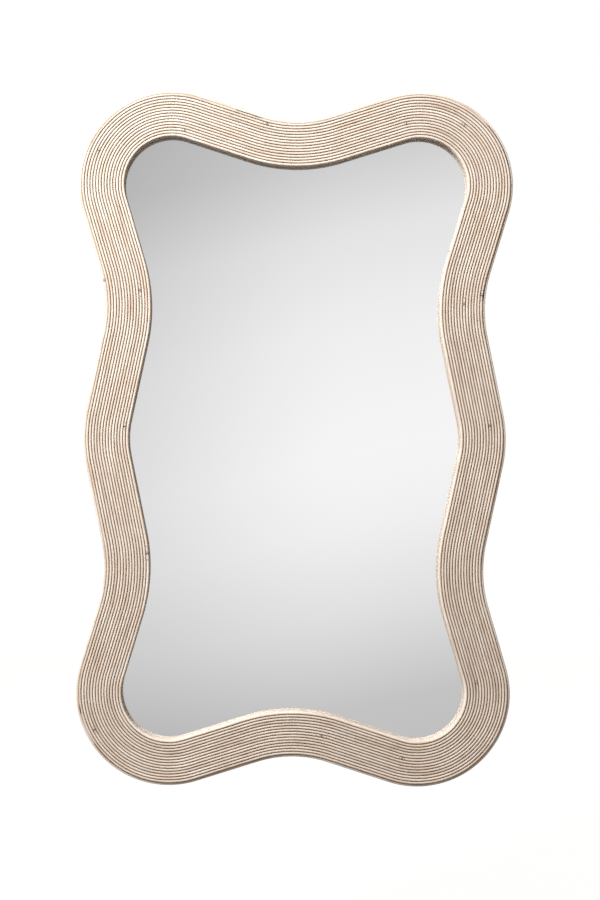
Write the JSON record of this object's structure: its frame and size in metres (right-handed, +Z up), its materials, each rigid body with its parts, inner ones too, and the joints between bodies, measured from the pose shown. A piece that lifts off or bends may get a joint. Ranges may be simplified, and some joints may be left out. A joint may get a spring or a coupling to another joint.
{
  "type": "irregular shaped wall mirror",
  "caption": "Wavy-edged wall mirror: flat glass in a board frame wrapped in parallel rattan reeds, with swinging D-ring hangers on the back.",
  "frame": {"origin": "middle of the back panel's outer face, level with the middle of the mirror", "axes": "+X to the viewer's right, +Z up as hung, +Y towards the wall"},
  "size_m": [0.7618, 0.0418, 1.2189],
  "materials": {
    "rattan": "natural round rattan core, unvarnished, matte",
    "lining": "thin veneer strip, sanded smooth",
    "board": "fibreboard, sawn edges",
    "silvered_glass": "float glass silvered on its back, polished",
    "foam_tape": "soft closed-cell foam",
    "hardboard": "brown hardboard, smooth side out",
    "zinc_steel": "zinc plated, satin",
    "brad_steel": "fine steel brads, dull",
    "bumper_rubber": "moulded black rubber"
  },
  "bodies": {
    "frame": {"front_reed_01": "rattan", "front_reed_02": "rattan", "front_reed_03": "rattan", "front_reed_04": "rattan", "front_reed_05": "rattan", "front_reed_06": "rattan", "front_reed_07": "rattan", "front_reed_08": "rattan", "front_reed_09": "rattan", "front_reed_10": "rattan", "front_reed_11": "rattan", "front_reed_12": "rattan", "front_reed_13": "rattan", "front_reed_14": "rattan", "front_reed_15": "rattan", "side_reed_01": "rattan", "side_reed_02": "rattan", "side_reed_03": "rattan", "side_reed_04": "rattan", "side_reed_05": "rattan", "side_reed_06": "rattan", "reed_pins": "brad_steel", "front_board": "board", "rear_board": "board", "inner_lining": "lining", "mirror_glass": "silvered_glass", "glass_pad": "foam_tape", "back_panel": "hardboard", "panel_screws": "zinc_steel", "hanger_screws": "zinc_steel", "hanger_strap_left": "zinc_steel", "hanger_strap_right": "zinc_steel", "wall_bumpers": "bumper_rubber"},
    "ring_left": {"hanger_ring_left": "zinc_steel"},
    "ring_right": {"hanger_ring_right": "zinc_steel"}
  },
  "joints": [
    {"name": "ring_left_swing", "type": "hinge", "parent": "frame", "child": "ring_left", "pos_m": [-0.29697, 0.00275, 0.25075], "axis": [1, 0, 0], "range_deg": [0, 180]},
    {"name": "ring_right_swing", "type": "hinge", "parent": "frame", "child": "ring_right", "pos_m": [0.29697, 0.00275, 0.25075], "axis": [1, 0, 0], "range_deg": [0, 180]}
  ]
}
